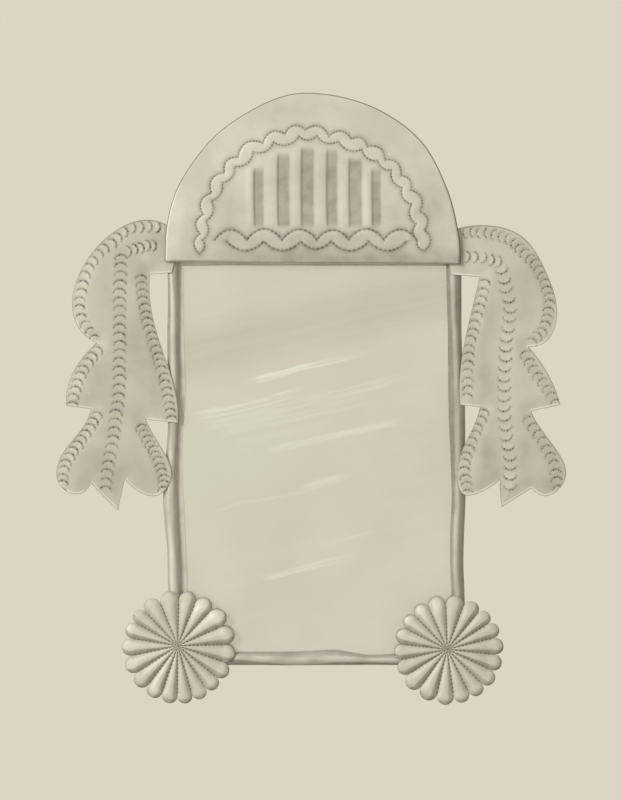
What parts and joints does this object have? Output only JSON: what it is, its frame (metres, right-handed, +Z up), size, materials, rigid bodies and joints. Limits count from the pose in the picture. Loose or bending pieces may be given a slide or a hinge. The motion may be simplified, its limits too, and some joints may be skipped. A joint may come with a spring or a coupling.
{
  "type": "mexican tin mirror",
  "caption": "Tin-framed wall mirror with an arched ribbed crest, scalloped hanging side pendants, half-round beads and fluted corner rosettes; hangs by a swinging wire ring.",
  "frame": {"origin": "middle of the flat back sheet, on its rear face, where the mirror lies against a wall", "axes": "+X to the viewer's right, +Z up, the front faces -Y, and +Y points into the wall"},
  "size_m": [0.2913, 0.0137, 0.3497],
  "materials": {
    "tin": "aged tinplate, dull",
    "back_tin": "plain tinplate",
    "wire": "drawn wire",
    "mirror": "old silvered glass",
    "card": "brown packing card",
    "solder": "dull tin-lead solder"
  },
  "bodies": {
    "frame": {"left_channel": "tin", "right_channel": "tin", "top_channel": "tin", "bottom_channel": "tin", "left_bead": "tin", "right_bead": "tin", "bottom_bead": "tin", "lunette": "tin", "left_pendant": "tin", "right_pendant": "tin", "left_rosette": "tin", "right_rosette": "tin", "backing_sheet": "back_tin", "hanger_clip": "back_tin", "mirror_glass": "mirror", "packing_card": "card", "backing_solder": "solder", "lunette_solder": "solder", "pendant_solder": "solder", "rosette_solder": "solder", "hanger_solder": "solder"},
    "ring": {"hanging_ring": "wire"}
  },
  "joints": [
    {"name": "ring_swing", "type": "hinge", "parent": "frame", "child": "ring", "pos_m": [0, -0.00982, 0.186], "axis": [1, 0, 0], "range_deg": [0, 175]}
  ]
}
